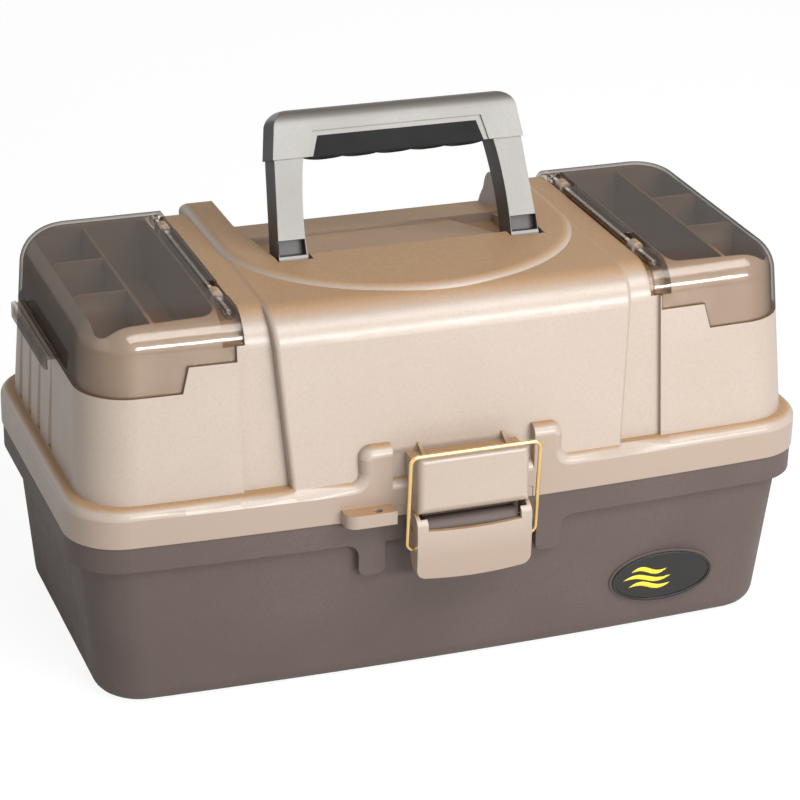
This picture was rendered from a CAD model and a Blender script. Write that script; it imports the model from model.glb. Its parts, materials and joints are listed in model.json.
# %% [markdown]
# A tackle box, dressed
# The box comes in as a frame of CAD pieces, each in its own place, in metres, with +Z up and the latch towards -Y.
# Here each piece gets the surface that the real one has, and the badge gets its waves. The frame is loaded first,
# because every later piece takes its place from it.

# %% Load the frame
import json
from math import cos, pi, radians, sin

import bpy
import numpy as np
from mathutils import Matrix, Vector


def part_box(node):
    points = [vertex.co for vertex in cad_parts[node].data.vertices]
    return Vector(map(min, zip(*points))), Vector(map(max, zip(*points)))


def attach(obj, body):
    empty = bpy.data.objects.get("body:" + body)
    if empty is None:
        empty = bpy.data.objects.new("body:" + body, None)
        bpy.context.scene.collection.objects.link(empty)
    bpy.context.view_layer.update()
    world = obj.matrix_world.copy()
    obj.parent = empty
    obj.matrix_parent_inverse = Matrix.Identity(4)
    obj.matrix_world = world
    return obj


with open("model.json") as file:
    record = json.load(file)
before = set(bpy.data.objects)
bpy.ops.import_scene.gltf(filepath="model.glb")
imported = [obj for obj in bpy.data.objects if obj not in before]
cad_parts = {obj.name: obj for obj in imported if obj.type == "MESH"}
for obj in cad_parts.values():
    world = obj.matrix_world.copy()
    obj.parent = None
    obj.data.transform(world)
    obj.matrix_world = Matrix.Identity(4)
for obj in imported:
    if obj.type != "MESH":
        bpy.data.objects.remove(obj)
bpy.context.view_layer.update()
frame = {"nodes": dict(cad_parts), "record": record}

nodes = frame["nodes"]

# %% [markdown]
# The camera
# A product photograph is taken from a few metres away with a long lens, so that the box's edges hardly converge.
# The turn, height and roll below were read from how the box's long and short edges run in the picture. The place
# is given in the camera's own axes, because there the distance, the sideways shift and the height stay separate.

# %% Camera
camera_turn = radians(-20.45)
camera_height = radians(24.22)
camera_roll = radians(1.262)
camera_lens = 127.1
camera_far_end = 30.0
camera_shift_right = 0.00382
camera_shift_up = 0.11719
camera_distance = 1.78903


def camera_axes(turn, height, roll):
    """Right, up and back of a camera that looks at the origin, from its turn about Z, height and roll."""
    back = Vector((sin(turn) * cos(height), -cos(turn) * cos(height), sin(height)))
    level = Vector((0, 0, 1)).cross(back).normalized()
    upright = back.cross(level)
    right = level * cos(roll) + upright * sin(roll)
    up = upright * cos(roll) - level * sin(roll)
    return right, up, back


right, up, back = camera_axes(camera_turn, camera_height, camera_roll)
camera_data = bpy.data.cameras.new("camera")
camera_data.lens = camera_lens
camera_data.clip_end = camera_far_end
camera = bpy.data.objects.new("camera", camera_data)
bpy.context.scene.collection.objects.link(camera)
camera.matrix_world = Matrix.Translation(
    right * camera_shift_right + up * camera_shift_up + back * camera_distance
) @ Matrix((right, up, back)).transposed().to_4x4()
bpy.context.scene.camera = camera
print("camera at", [round(v, 3) for v in camera.matrix_world.translation])

# %% [markdown]
# Node helpers
# A finish is a small tree of nodes. Written out in full, each node takes five lines, and the idea of the finish is
# lost in them. A helper per node keeps the finishes short, so that they read like a recipe.

# %% Helpers that add one node


def new_material(name):
    """Empty node material, its tree and its Principled shader."""
    material = bpy.data.materials.new(name)
    material.use_nodes = True
    tree = material.node_tree
    return material, tree, tree.nodes["Principled BSDF"]


def noise(tree, scale, detail=4.0, rough=0.5, stretch=(1, 1, 1)):
    """Noise value in Object coordinates, stretched along the axes by a Mapping node."""
    place = tree.nodes.new("ShaderNodeTexCoord")
    mapping = tree.nodes.new("ShaderNodeMapping")
    mapping.inputs["Scale"].default_value = stretch
    texture = tree.nodes.new("ShaderNodeTexNoise")
    texture.inputs["Scale"].default_value = scale
    texture.inputs["Detail"].default_value = detail
    texture.inputs["Roughness"].default_value = rough
    tree.links.new(place.outputs["Object"], mapping.inputs["Vector"])
    tree.links.new(mapping.outputs["Vector"], texture.inputs["Vector"])
    return texture.outputs["Fac"]


def spread(tree, value, low, high, from_low=0.3, from_high=0.7):
    """Value carried from one range to another, and held at its ends."""
    node = tree.nodes.new("ShaderNodeMapRange")
    node.inputs["From Min"].default_value = from_low
    node.inputs["From Max"].default_value = from_high
    node.inputs["To Min"].default_value = low
    node.inputs["To Max"].default_value = high
    tree.links.new(value, node.inputs["Value"])
    return node.outputs["Result"]


def reckon(tree, operation, first, second=0.0):
    """One Math node on values or numbers."""
    node = tree.nodes.new("ShaderNodeMath")
    node.operation = operation
    for socket, value in zip(node.inputs, (first, second)):
        if isinstance(value, (int, float)):
            socket.default_value = value
        else:
            tree.links.new(value, socket)
    return node.outputs[0]


def blend_colours(tree, factor, first, second):
    """Colour between two colours."""
    node = tree.nodes.new("ShaderNodeMix")
    node.data_type = "RGBA"
    tree.links.new(factor, node.inputs[0])
    for socket, colour in ((node.inputs[6], first), (node.inputs[7], second)):
        if isinstance(colour, tuple):
            socket.default_value = (*colour, 1.0)
        else:
            tree.links.new(colour, socket)
    return node.outputs[2]


def blend_shaders(tree, share, first, second):
    """Second shader laid over the first by a share, as the material's surface."""
    node = tree.nodes.new("ShaderNodeMixShader")
    tree.links.new(share, node.inputs[0])
    tree.links.new(first.outputs[0], node.inputs[1])
    tree.links.new(second.outputs[0], node.inputs[2])
    tree.links.new(node.outputs[0], tree.nodes["Material Output"].inputs["Surface"])


# %% [markdown]
# Soft edges and worn edges
# Real mouldings have no sharp edges. A Bevel node rounds the shading of each edge by a fraction of a millimetre,
# and leaves the mesh as it is. The same node finds the edges for wear: where its direction differs from the
# surface's own, an edge is near. That works on any mesh, which is why no edge has to be picked by hand.

# %% Helpers for edges
bevel_rays = 4


def rounded_direction(tree, radius):
    """Surface direction with the edges rounded to a radius."""
    node = tree.nodes.new("ShaderNodeBevel")
    node.samples = bevel_rays
    node.inputs["Radius"].default_value = radius
    return node.outputs["Normal"]


def relief(tree, shader, height, strength, distance, edge=0.0007):
    """Fine relief from a height value, over rounded edges."""
    node = tree.nodes.new("ShaderNodeBump")
    node.inputs["Strength"].default_value = strength
    node.inputs["Distance"].default_value = distance
    tree.links.new(height, node.inputs["Height"])
    tree.links.new(rounded_direction(tree, edge), node.inputs["Normal"])
    tree.links.new(node.outputs["Normal"], shader.inputs["Normal"])


def edge_share(tree, radius):
    """Zero on faces and one on sharp edges, as the product of the rounded and the own direction falls from 0.99
    to 0.75."""
    own = tree.nodes.new("ShaderNodeNewGeometry")
    product = tree.nodes.new("ShaderNodeVectorMath")
    product.operation = "DOT_PRODUCT"
    tree.links.new(rounded_direction(tree, radius), product.inputs[0])
    tree.links.new(own.outputs["Normal"], product.inputs[1])
    return spread(tree, product.outputs["Value"], 1.0, 0.0, 0.75, 0.99)


# %% [markdown]
# Plain mouldings
# The tub is graphite brown, the trays are tan, the grip is rubber and the badge is glossy black. They differ only in
# colour, gloss and grain, so one function makes them all: two near colours that drift, a grain, and edges rubbed
# paler where hands and shelves touch them.

# %% Moulded plastic
drift_scale = 14.0
speckle_scale = 620.0
polish_scale = 60.0
rub_scale = 85.0
rub_radius = 0.0009
rub_tone = 0.8
coat_rough = 0.2


def moulded(name, colour, shade, rough, grain_scale, grain_depth, gloss=1.5, coat=0.0, speckle=0.0, rub=0.12):
    """Moulded plastic: two near colours that drift, fine speckles, edges rubbed a little paler, a grain and a
    roughness that varies a little. Gloss is the refractive index."""
    material, tree, shader = new_material(name)
    base = blend_colours(tree, spread(tree, noise(tree, drift_scale, 5.0), 0.0, 1.0), colour, shade)
    if speckle:
        dark = tuple(value * (1.0 - speckle) for value in shade)
        spots = spread(tree, noise(tree, speckle_scale, 3.0, 0.7), 0.0, 0.8, 0.45, 0.75)
        base = blend_colours(tree, spots, base, dark)
    patches = spread(tree, noise(tree, rub_scale, 4.0), 0.0, 1.0)
    worn = reckon(tree, "MULTIPLY", edge_share(tree, rub_radius), patches)
    base = blend_colours(tree, worn, base, tuple(value + (rub_tone - value) * rub for value in shade))
    tree.links.new(base, shader.inputs["Base Color"])
    polish = spread(tree, noise(tree, polish_scale, 3.0), rough - 0.04, rough + 0.05)
    tree.links.new(polish, shader.inputs["Roughness"])
    relief(tree, shader, noise(tree, grain_scale, 3.0, 0.6), 0.5, grain_depth)
    shader.inputs["IOR"].default_value = gloss
    shader.inputs["Coat Weight"].default_value = coat
    shader.inputs["Coat Roughness"].default_value = coat_rough
    return material


graphite = moulded("graphite_plastic", (0.092, 0.069, 0.061), (0.112, 0.084, 0.075), rough=0.5,
                   grain_scale=900.0, grain_depth=0.00014, gloss=1.35, speckle=0.22, rub=0.05)
rubber = moulded("black_rubber", (0.010, 0.010, 0.010), (0.016, 0.015, 0.015), rough=0.55,
                 grain_scale=1500.0, grain_depth=0.00012, gloss=1.2, rub=0.03)
tray_tan = moulded("tan_plastic", (0.42, 0.33, 0.25), (0.45, 0.355, 0.27), rough=0.4,
                   grain_scale=1000.0, grain_depth=0.0001)
black_gloss = moulded("black_gloss", (0.012, 0.012, 0.012), (0.016, 0.015, 0.014), rough=0.2,
                      grain_scale=1500.0, grain_depth=0.00003, rub=0.03)
print("plain mouldings", [material.name for material in (graphite, rubber, tray_tan, black_gloss)])

# %% [markdown]
# The lid
# The lid is a pearlescent plastic. Its flakes make it pale where the wall leans back, deeper where it stands upright
# and a warm tan on top. A colour map would need those regions drawn by hand. The surface's own direction already
# tells them apart, so its Z part picks the colour. The flat top gets a matt shader too, because at this low angle
# a glossy one would mirror the white studio and wash the tan out.

# %% Pearl of the lid
pearl_coat_rough = 0.32
upright_colour = (0.345, 0.262, 0.206)
upright_ends, leaning_starts = -0.01, 0.115
top_colour, top_shade = (0.405, 0.252, 0.14), (0.45, 0.284, 0.16)
top_starts, top_full = 0.72, 0.97


def facing_parts(tree):
    """X, Y and Z of the surface's direction, in the piece's own axes."""
    place = tree.nodes.new("ShaderNodeTexCoord")
    parts = tree.nodes.new("ShaderNodeSeparateXYZ")
    tree.links.new(place.outputs["Normal"], parts.inputs[0])
    return parts


def pearl_lid():
    """Pearl plastic, deeper on upright walls, with a matt tan mixed in where the surface looks up."""
    material = moulded("sandstone_plastic", (0.405, 0.33, 0.27), (0.43, 0.352, 0.292), rough=0.33,
                       grain_scale=800.0, grain_depth=0.00012, coat=0.4, speckle=0.14, rub=0.06)
    tree = material.node_tree
    pearl = tree.nodes["Principled BSDF"]
    pearl.inputs["Coat Roughness"].default_value = pearl_coat_rough
    upward = facing_parts(tree).outputs["Z"]
    upright = spread(tree, upward, 1.0, 0.0, upright_ends, leaning_starts)
    plain = pearl.inputs["Base Color"].links[0].from_socket
    tree.links.new(blend_colours(tree, upright, plain, upright_colour), pearl.inputs["Base Color"])

    matt = tree.nodes.new("ShaderNodeBsdfPrincipled")
    drift = spread(tree, noise(tree, 500.0, 3.0), 0.0, 1.0)
    tree.links.new(blend_colours(tree, drift, top_colour, top_shade), matt.inputs["Base Color"])
    matt.inputs["Roughness"].default_value = 0.45
    matt.inputs["IOR"].default_value = 1.2
    tree.links.new(tree.nodes["Bump"].outputs["Normal"], matt.inputs["Normal"])
    blend_shaders(tree, spread(tree, upward, 0.0, 1.0, top_starts, top_full), pearl, matt)
    return material


sandstone = pearl_lid()
print("lid finish has", len(sandstone.node_tree.nodes), "nodes")

# %% [markdown]
# Metals
# The latch wire is brass plated, the pins are bright steel and the tray arms are zinc plated. Drawing and plating
# leave faint streaks, so the noise is stretched along Z, and it moves both the colour and the roughness.

# %% Plated metal


def metal(name, colour, rough):
    """Plated metal with faint streaks."""
    material, tree, shader = new_material(name)
    streaks = noise(tree, 220.0, 4.0, 0.6, (1.0, 1.0, 0.2))
    tone = blend_colours(tree, spread(tree, streaks, 0.0, 1.0), colour, tuple(v * 0.8 for v in colour))
    tree.links.new(tone, shader.inputs["Base Color"])
    tree.links.new(spread(tree, streaks, rough * 0.8, rough * 1.3), shader.inputs["Roughness"])
    shader.inputs["Metallic"].default_value = 1.0
    relief(tree, shader, streaks, 0.2, 0.0001, 0.0003)
    return material


brass = metal("brass_wire", (0.86, 0.62, 0.27), 0.2)
steel = metal("steel", (0.78, 0.76, 0.74), 0.22)
zinc = metal("zinc_steel", (0.55, 0.56, 0.57), 0.38)
print("metals", [material.name for material in (brass, steel, zinc)])

# %% [markdown]
# Smoke covers
# The covers are clear plastic with a brown tint. Seen straight through they hide little. Seen along the wall, or at
# an edge, more plastic lies in the line of sight and they turn dark. Real refraction in thin walls costs many
# light bounces and shows little, so light passes straight through here, and the slant and the edges set the tint.

# %% Smoked plastic
smoke_tint = (0.90, 0.865, 0.83)
smoke_edge = (0.14, 0.11, 0.09)
smoke_mirror = (0.95, 0.93, 0.9)
smoke_slant_power = 3.0
smoke_edge_radius = 0.0013
smoke_edge_depth = 0.75


def smoke(name):
    """Clear tinted moulding: light passes with a tint that deepens with the cube of the slant and at the edges, and
    a small mirror share grows with the slant too."""
    material, tree, shader = new_material(name)
    passing = tree.nodes.new("ShaderNodeBsdfTransparent")
    weight = tree.nodes.new("ShaderNodeLayerWeight")
    weight.inputs["Blend"].default_value = 0.5
    slant = reckon(tree, "POWER", weight.outputs["Facing"], smoke_slant_power)
    haze_share = spread(tree, noise(tree, 45.0, 4.0), 0.0, 1.0)
    haze = blend_colours(tree, haze_share, smoke_tint, tuple(v * 0.97 for v in smoke_tint))
    outline = reckon(tree, "MULTIPLY", edge_share(tree, smoke_edge_radius), smoke_edge_depth)
    thick = reckon(tree, "MAXIMUM", spread(tree, slant, 0.0, 1.0, 0.0, 0.8), outline)
    tree.links.new(blend_colours(tree, thick, haze, smoke_edge), passing.inputs["Color"])
    shader.inputs["Base Color"].default_value = (*smoke_mirror, 1.0)
    shader.inputs["Metallic"].default_value = 1.0
    tree.links.new(spread(tree, noise(tree, 90.0, 3.0), 0.05, 0.10), shader.inputs["Roughness"])
    relief(tree, shader, noise(tree, 35.0, 2.0), 0.1, 0.0003, 0.0012)
    blend_shaders(tree, spread(tree, slant, 0.03, 0.16, 0.0, 1.0), passing, shader)
    return material


smoke_clear = smoke("smoke_clear")
print("cover finish has", len(smoke_clear.node_tree.nodes), "nodes")

# %% [markdown]
# The handle
# The handle is silver at the front, dark on the faces that look sideways or up, and dark in the small windows at its
# feet. Direction finds the faces. The windows share their direction with the legs, so they are found by place, in
# axes that lean back with the handle about its pin.

# %% Silver and dark of the handle
handle_lean = radians(21.0)
handle_pin = (0.0, -0.0098, 0.2275)
handle_dark = (0.035, 0.028, 0.024)
handle_top_colour = (0.085, 0.07, 0.06)
window_low, window_high = 0.0072, 0.0168
window_inner, window_outer = 0.0648, 0.0817


def inside(tree, value, low, high):
    """One where a value lies between two limits, else zero."""
    above = reckon(tree, "GREATER_THAN", value, low)
    return reckon(tree, "MULTIPLY", above, reckon(tree, "LESS_THAN", value, high))


def place_along(tree, origin, direction):
    """How far a point lies from an origin along a direction, in the piece's own axes."""
    place = tree.nodes.new("ShaderNodeTexCoord")
    offset = tree.nodes.new("ShaderNodeVectorMath")
    offset.operation = "SUBTRACT"
    offset.inputs[1].default_value = origin
    product = tree.nodes.new("ShaderNodeVectorMath")
    product.operation = "DOT_PRODUCT"
    product.inputs[1].default_value = direction
    tree.links.new(place.outputs["Object"], offset.inputs[0])
    tree.links.new(offset.outputs[0], product.inputs[0])
    return product.outputs["Value"]


def foot_windows(tree):
    """One in the sunk windows of the feet, else zero: between two heights and widths, ahead of the pin."""
    climb = place_along(tree, handle_pin, (0.0, sin(handle_lean), cos(handle_lean)))
    depth = place_along(tree, handle_pin, (0.0, -cos(handle_lean), sin(handle_lean)))
    across = reckon(tree, "ABSOLUTE", place_along(tree, handle_pin, (1.0, 0.0, 0.0)))
    opening = reckon(tree, "MULTIPLY", inside(tree, climb, window_low, window_high),
                     inside(tree, across, window_inner, window_outer))
    return reckon(tree, "MULTIPLY", opening, reckon(tree, "GREATER_THAN", depth, 0.0))


def two_tone_handle():
    """Silver plastic, with darker faces where it looks up or sideways and in its windows."""
    material = moulded("silver_grey", (0.28, 0.27, 0.25), (0.36, 0.35, 0.33), rough=0.34,
                       grain_scale=1300.0, grain_depth=0.00006, gloss=1.45, speckle=0.2)
    tree = material.node_tree
    base = tree.nodes["Principled BSDF"].inputs["Base Color"]
    facing = facing_parts(tree)
    upward = spread(tree, facing.outputs["Z"], 0.0, 1.0, 0.38, 0.95)
    silver = blend_colours(tree, upward, base.links[0].from_socket, handle_top_colour)
    sideways = spread(tree, reckon(tree, "ABSOLUTE", facing.outputs["X"]), 0.0, 1.0, 0.80, 0.88)
    dark_parts = reckon(tree, "MAXIMUM", sideways, foot_windows(tree))
    tree.links.new(blend_colours(tree, dark_parts, silver, handle_dark), base)
    return material


silver_grey = two_tone_handle()
print("handle finish has", len(silver_grey.node_tree.nodes), "nodes")

# %% [markdown]
# Dressing the pieces
# The frame's record names a material slot for each CAD node. Looking the finish up by slot, not by node, means that a
# piece added later is dressed by the same table.

# %% Finish of each node
finish_of = {
    "sandstone_plastic": sandstone,
    "graphite_plastic": graphite,
    "silver_grey": silver_grey,
    "black_rubber": rubber,
    "tan_plastic": tray_tan,
    "black_gloss": black_gloss,
    "badge_print": black_gloss,
    "brass_wire": brass,
    "steel": steel,
    "zinc_steel": zinc,
    "smoke_clear": smoke_clear,
}
slot_of = {entry["node"]: entry["material_slot"] for entry in frame["record"]["subparts"]}
for name, node in nodes.items():
    node.data.materials.clear()
    node.data.materials.append(finish_of[slot_of[name]])
print("dressed", len(nodes), "nodes in", len(set(slot_of.values())), "finishes")

# %% [markdown]
# Waves on the badge
# The badge stays without a name. Three yellow waves fill its left part, as a raised print would. A texture could draw
# them, but a thin solid catches the light at its edge. Each wave is a flattened tube along a sine line: its width
# swells from nothing to a belly and back, and its lower half is sunk in the badge's face.

# %% Shape of a wave
badge_low, badge_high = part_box("badge_face")
badge_lean = radians(3.7)
badge_lift = 0.0003
badge_across = np.array([1.0, 0.0, 0.0])
badge_out = np.array([0.0, -cos(badge_lean), -sin(badge_lean)])
badge_up = np.array([0.0, -sin(badge_lean), cos(badge_lean)])
badge_front = (np.array(badge_low) + np.array(badge_high)) / 2 + badge_out * badge_lift


def wave_surface(start, length, level, swing, belly, lift, steps=56, ring=16):
    """Grid of points on a flattened tube, by the share u along it and the angle round it: along is start + length u,
    up is level + swing sin(2 pi u) + belly s cos(angle) and out is lift s sin(angle), with s = sin(pi u) ^ 0.7."""
    share = np.linspace(0.0, 1.0, steps)[:, None]
    angle = np.linspace(0.0, 2.0 * pi, ring, endpoint=False)[None, :]
    swell = np.sin(pi * share) ** 0.7
    along = start + length * share + 0.0 * angle
    up = level + swing * np.sin(2.0 * pi * share) + belly * swell * np.cos(angle)
    out = lift * swell * np.sin(angle)
    return badge_front + along[..., None] * badge_across + up[..., None] * badge_up + out[..., None] * badge_out


print("badge front at", badge_front.round(4).tolist())

# %% [markdown]
# From a grid to a mesh
# The grid's first and last rings shrink to a point. Kept as rings they would be holes with no width, so each becomes
# one vertex, a pole with a fan of triangles, and the mesh is closed.

# %% Make the waves
wave_swing = 0.0018
wave_belly = 0.0017
wave_lift = 0.0004
wave_starts = (-0.021, -0.026, -0.022)
wave_lengths = (0.024, 0.032, 0.028)
wave_levels = (0.0052, 0.0, -0.0052)
yellow = moulded("wave_yellow", (0.80, 0.60, 0.02), (0.86, 0.66, 0.03), rough=0.3,
                 grain_scale=900.0, grain_depth=0.00002, coat=0.2)


def tube_mesh(name, grid, finish):
    """Closed mesh from rings of points, with one pole at each end."""
    steps, ring = grid.shape[:2]
    points = np.concatenate([grid[1:-1].reshape(-1, 3), grid[:1, 0], grid[-1:, 0]])
    rows, columns = np.meshgrid(np.arange(steps - 3), np.arange(ring), indexing="ij")
    after = (columns + 1) % ring
    sides = np.stack([rows * ring + columns, (rows + 1) * ring + columns,
                      (rows + 1) * ring + after, rows * ring + after], axis=-1).reshape(-1, 4)
    turn = np.arange(ring)
    last = (steps - 3) * ring
    first_cap = np.stack([np.full(ring, len(points) - 2), turn, (turn + 1) % ring], axis=-1)
    last_cap = np.stack([np.full(ring, len(points) - 1), last + (turn + 1) % ring, last + turn], axis=-1)
    mesh = bpy.data.meshes.new(name)
    mesh.from_pydata(points.tolist(), [], sides.tolist() + first_cap.tolist() + last_cap.tolist())
    mesh.polygons.foreach_set("use_smooth", np.ones(len(mesh.polygons), dtype=bool))
    mesh.materials.append(finish)
    piece = bpy.data.objects.new(name, mesh)
    bpy.context.scene.collection.objects.link(piece)
    return piece


for number, (start, length, level) in enumerate(zip(wave_starts, wave_lengths, wave_levels), 1):
    surface = wave_surface(start, length, level, wave_swing, wave_belly, wave_lift)
    wave = tube_mesh(f"badge_wave_{number}", surface, yellow)
    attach(wave, "base")
    print(wave.name, "faces", len(wave.data.polygons))

# %% [markdown]
# The floor
# The picture's ground is pure white with hardly a shadow. A plain white floor turns grey away from the lamps, so most
# of what the camera sees of it is an even white glow. A part stays a real, shaded surface, so that the box still
# casts a faint shadow. In reflections the floor has no glow, or the box's steep walls would wash out.

# %% Floor
floor_half = 6.0
floor_white = 0.8
floor_glow = 1.12


def white_when_seen(tree, shader, share):
    """The shader, mixed with a white glow by a share, for rays from the camera or through glass only."""
    white = tree.nodes.new("ShaderNodeEmission")
    white.inputs["Color"].default_value = (1.0, 1.0, 1.0, 1.0)
    white.inputs["Strength"].default_value = floor_glow
    path = tree.nodes.new("ShaderNodeLightPath")
    seen = reckon(tree, "MAXIMUM", path.outputs["Is Camera Ray"], path.outputs["Is Transmission Ray"])
    blend_shaders(tree, reckon(tree, "MULTIPLY", seen, share), shader, white)


floor_finish, floor_tree, floor_shader = new_material("floor_white")
floor_tone = blend_colours(floor_tree, noise(floor_tree, 3.0), (0.86, 0.86, 0.86), (0.9, 0.9, 0.9))
floor_tree.links.new(floor_tone, floor_shader.inputs["Base Color"])
floor_shader.inputs["Roughness"].default_value = 0.7
white_when_seen(floor_tree, floor_shader, floor_white)

floor_corners = [(-1, -1), (1, -1), (1, 1), (-1, 1)]
floor_mesh = bpy.data.meshes.new("floor")
floor_mesh.from_pydata([(x * floor_half, y * floor_half, 0) for x, y in floor_corners], [], [(0, 1, 2, 3)])
floor_mesh.materials.append(floor_finish)
floor = bpy.data.objects.new("floor", floor_mesh)
bpy.context.scene.collection.objects.link(floor)
print("floor", 2 * floor_half, "m wide")

# %% [markdown]
# The world
# Two skies do two jobs. The one that is seen, by the camera, off gloss and through glass, is pure white. The one that
# lights the box is softer, or the lamps' shapes would drown in it.

# %% World
sky_seen = 1.0
sky_lighting = 0.3
world = bpy.data.worlds.new("studio")
bpy.context.scene.world = world
world.use_nodes = True
world_tree = world.node_tree


def sky(node, strength):
    """White background of a strength."""
    node.inputs["Color"].default_value = (1.0, 1.0, 1.0, 1.0)
    node.inputs["Strength"].default_value = strength
    return node


def seen_directly(tree):
    """One for rays from the camera, off gloss and through glass, else zero."""
    path = tree.nodes.new("ShaderNodeLightPath")
    shiny = reckon(tree, "MAXIMUM", path.outputs["Is Glossy Ray"], path.outputs["Is Transmission Ray"])
    return reckon(tree, "MAXIMUM", path.outputs["Is Camera Ray"], shiny)


soft_sky = sky(world_tree.nodes["Background"], sky_lighting)
white_sky = sky(world_tree.nodes.new("ShaderNodeBackground"), sky_seen)
sky_mix = world_tree.nodes.new("ShaderNodeMixShader")
world_tree.links.new(seen_directly(world_tree), sky_mix.inputs[0])
world_tree.links.new(soft_sky.outputs[0], sky_mix.inputs[1])
world_tree.links.new(white_sky.outputs[0], sky_mix.inputs[2])
world_tree.links.new(sky_mix.outputs[0], world_tree.nodes["World Output"].inputs["Surface"])
print("sky seen", sky_seen, "and lighting", sky_lighting)

# %% [markdown]
# Lamps
# The lid's front is the brightest face and its top is warmer and darker, so the main lamp stands in front, low and
# wide. A long strip above the front edge draws the soft highlight along the lid's round, and a weak one at the left
# keeps the end from going flat.

# %% Lamps


def lamp(name, place, aim, width, height, power):
    """Rectangular soft lamp that faces a point."""
    data = bpy.data.lights.new(name, "AREA")
    data.shape = "RECTANGLE"
    data.size = width
    data.size_y = height
    data.energy = power
    made = bpy.data.objects.new(name, data)
    bpy.context.scene.collection.objects.link(made)
    made.location = place
    made.rotation_mode = "QUATERNION"
    made.rotation_quaternion = (Vector(aim) - Vector(place)).to_track_quat("-Z", "Y")
    print("lamp", name, power, "W")


lamp("front", (0.6, -1.85, 0.62), (0, 0, 0.2), width=1.3, height=0.2, power=26.0)
lamp("strip_above", (0.35, -0.9, 1.15), (0, -0.05, 0.2), width=1.5, height=0.5, power=14.0)
lamp("left", (-1.5, -0.6, 0.7), (0, 0, 0.15), width=0.9, height=0.9, power=1.5)

# %% [markdown]
# Last measures
# The colours are shown as written, and the two boxes, of the CAD frame and of the dressed model, are kept for
# comparison.

# %% View and sizes
bpy.context.scene.view_settings.view_transform = "Standard"
